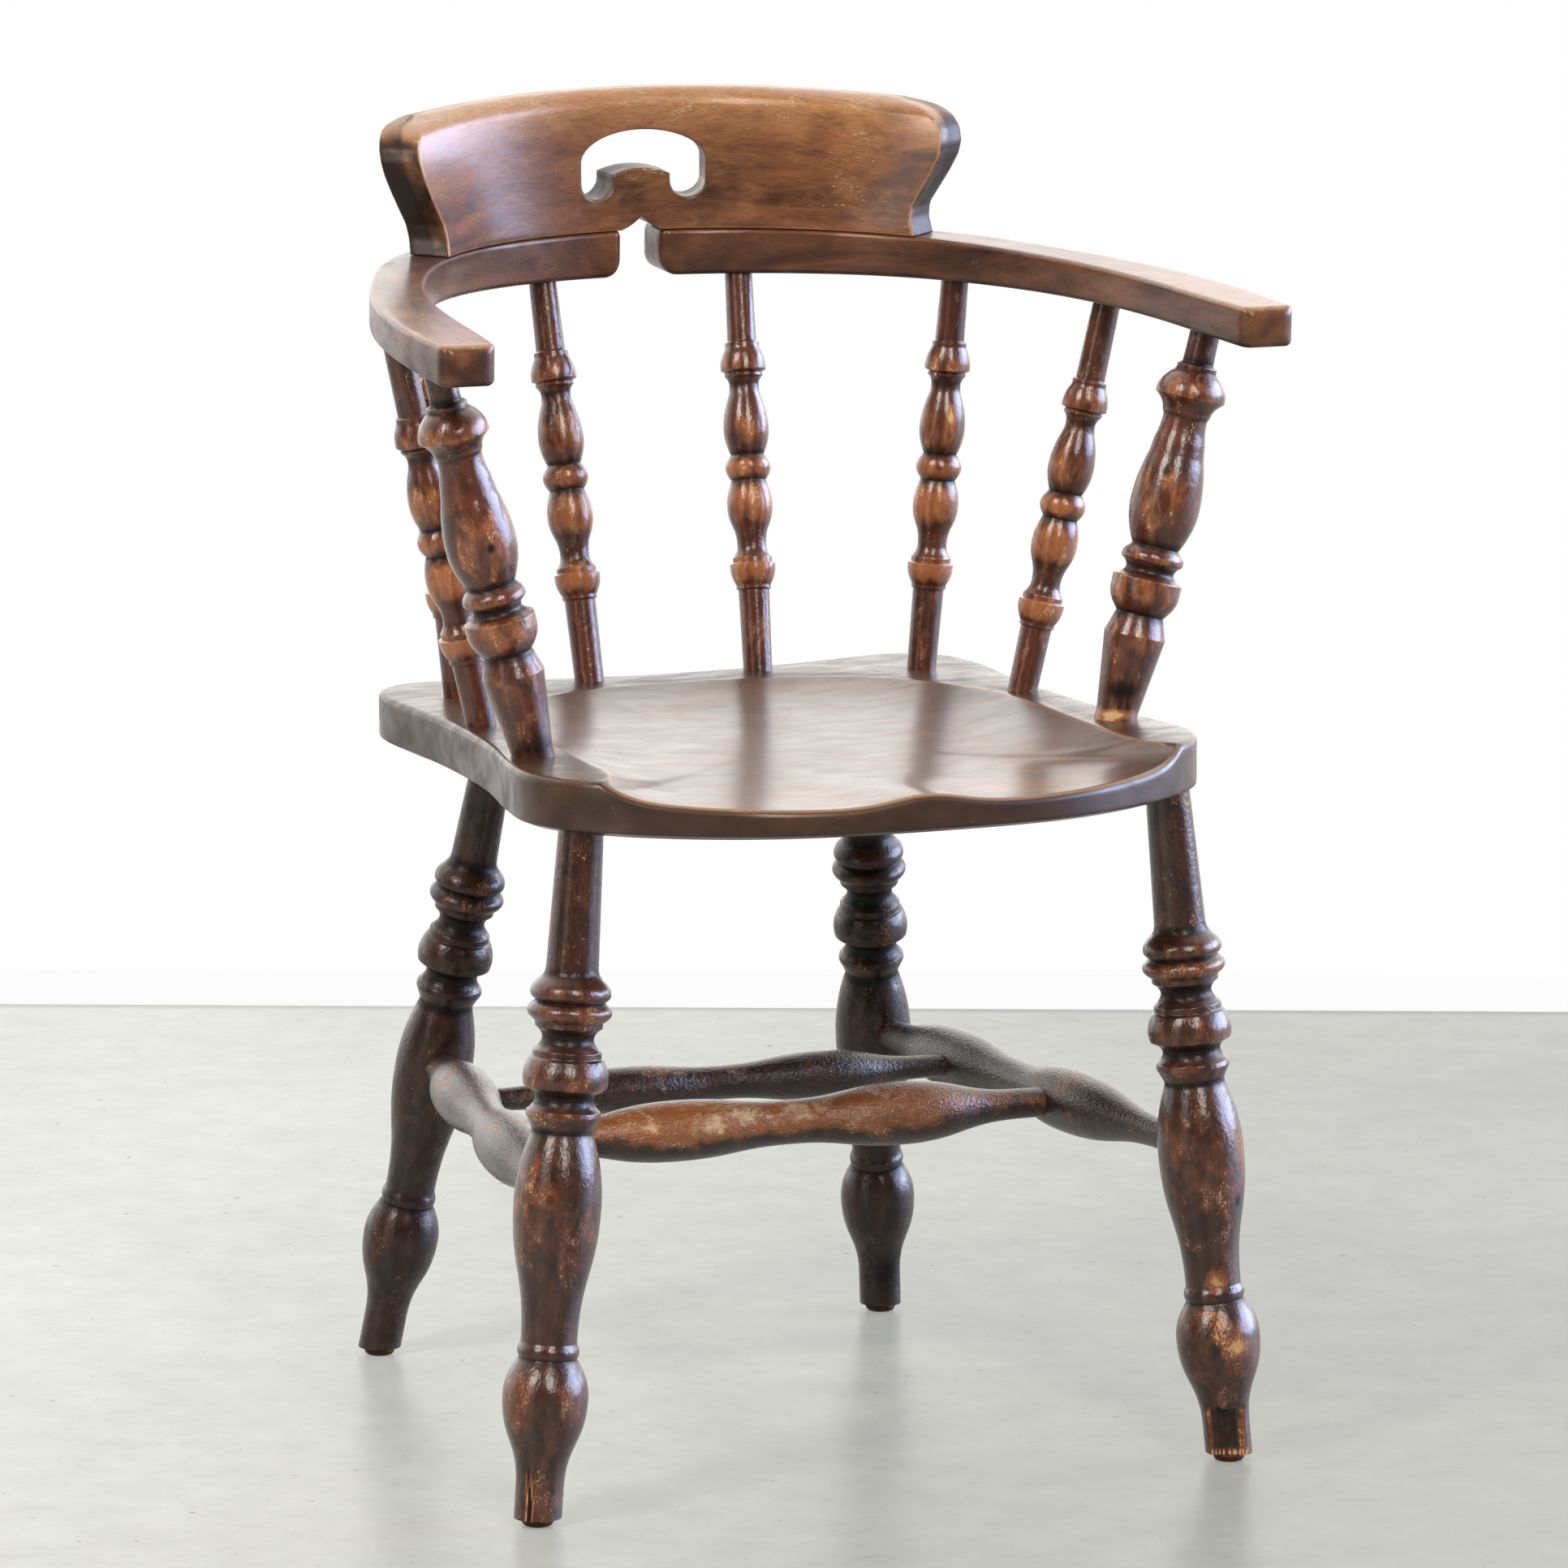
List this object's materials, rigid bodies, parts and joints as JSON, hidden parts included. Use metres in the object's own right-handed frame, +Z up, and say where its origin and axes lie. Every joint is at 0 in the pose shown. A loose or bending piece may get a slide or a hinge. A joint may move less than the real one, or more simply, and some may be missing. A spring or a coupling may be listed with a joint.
{
  "type": "captain's chair",
  "caption": "Wooden captain's chair with a horseshoe arm bow on turned spindles, a low crest with a pierced hand-hold, a saddled plank seat and turned splayed legs joined by stretchers.",
  "frame": {"origin": "on the floor under the middle of the chair's bounding box", "axes": "+Z up, -Y towards the front of the seat, +X to the right of someone facing the chair from the front"},
  "size_m": [0.559, 0.5328, 0.823],
  "materials": {
    "dark_wood": "stained dark brown, varnished, rubbed",
    "seat_wood": "stained dark brown, varnished, worn satin",
    "arm_wood": "stained brown, varnished, worn paler by hands",
    "bare_wood": "bare hardwood",
    "glide_metal": "browned, dull"
  },
  "bodies": {
    "root": {"seat": "seat_wood", "crest_rail": "arm_wood", "arm_left": "arm_wood", "arm_right": "arm_wood", "crest_dowel_left_1": "bare_wood", "crest_dowel_left_2": "bare_wood", "crest_dowel_right_1": "bare_wood", "crest_dowel_right_2": "bare_wood", "leg_front_left": "dark_wood", "leg_front_right": "dark_wood", "leg_rear_left": "dark_wood", "leg_rear_right": "dark_wood", "glide_front_left": "glide_metal", "glide_front_right": "glide_metal", "glide_rear_left": "glide_metal", "glide_rear_right": "glide_metal", "spindle_back_left": "dark_wood", "spindle_back_right": "dark_wood", "spindle_corner_left": "dark_wood", "spindle_corner_right": "dark_wood", "spindle_side_left": "dark_wood", "spindle_side_right": "dark_wood", "arm_post_left": "dark_wood", "arm_post_right": "dark_wood", "stretcher_left": "dark_wood", "stretcher_right": "dark_wood", "stretcher_front": "dark_wood", "stretcher_rear": "dark_wood"}
  },
  "joints": []
}
